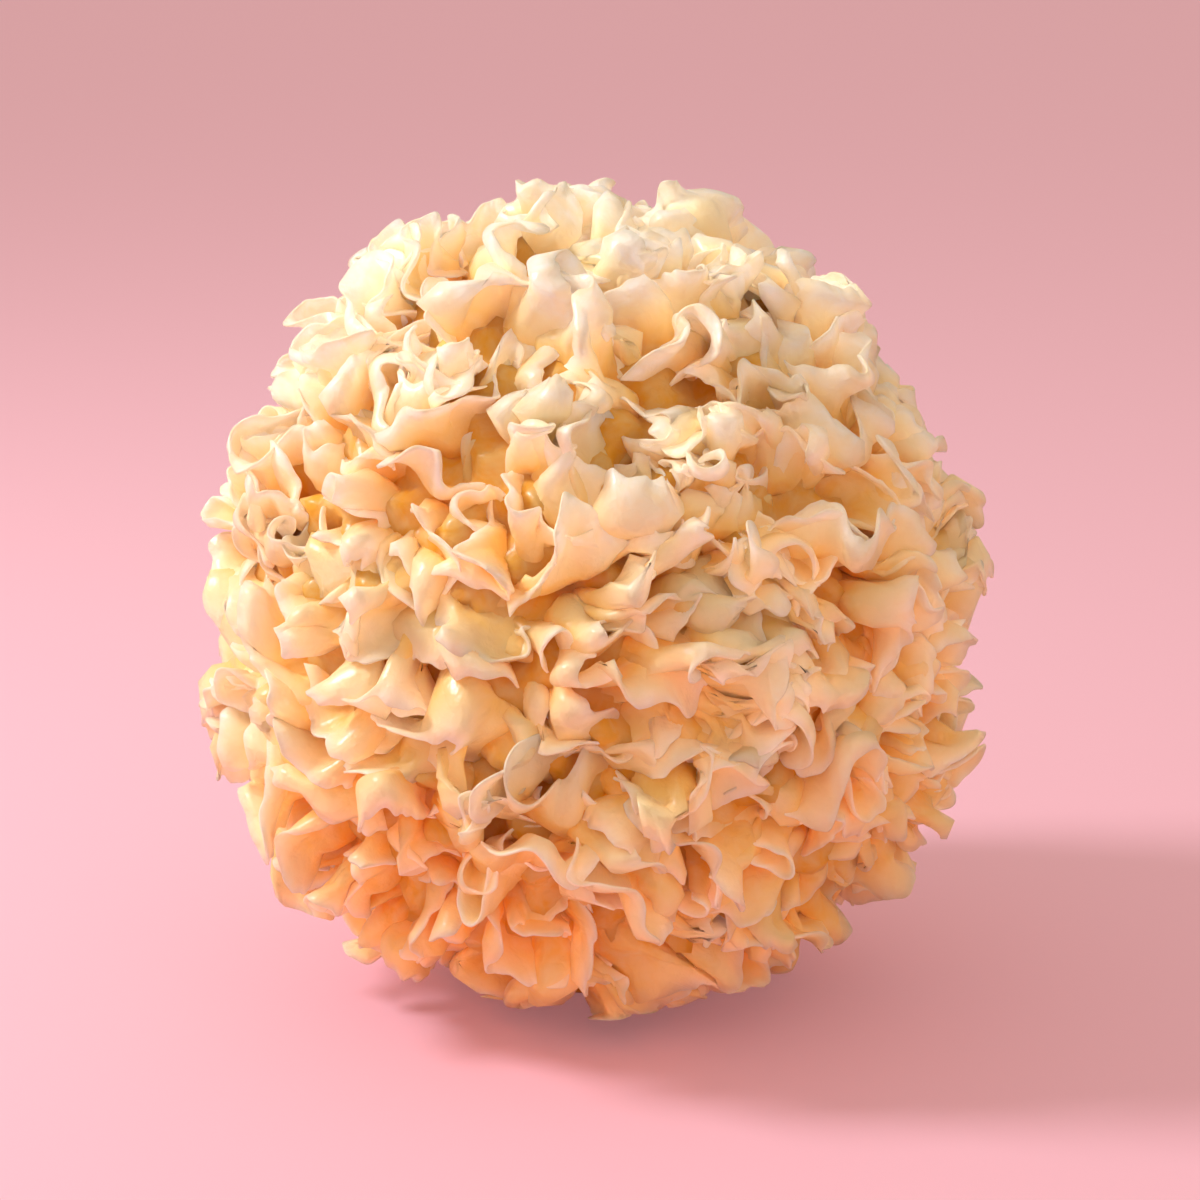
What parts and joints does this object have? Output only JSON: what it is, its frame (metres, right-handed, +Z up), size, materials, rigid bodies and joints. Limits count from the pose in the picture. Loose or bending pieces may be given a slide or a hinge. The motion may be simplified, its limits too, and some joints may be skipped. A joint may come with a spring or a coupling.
{
  "type": "snow fungus",
  "caption": "Whole head of snow fungus: a ball of ruffled gelatinous fronds round a dense heart, resting on its flat cut face.",
  "frame": {"origin": "centre of the flat cut face that the head rests on", "axes": "+Z up through the middle of the head, -Y towards the viewer, +X to the viewer's right"},
  "size_m": [0.1176, 0.1165, 0.1235],
  "materials": {
    "frond_tissue": "translucent gelatinous tissue, satin and slightly wet, cream at the rims and amber in the depths"
  },
  "bodies": {
    "root": {"fruiting_body": "frond_tissue"}
  },
  "joints": []
}
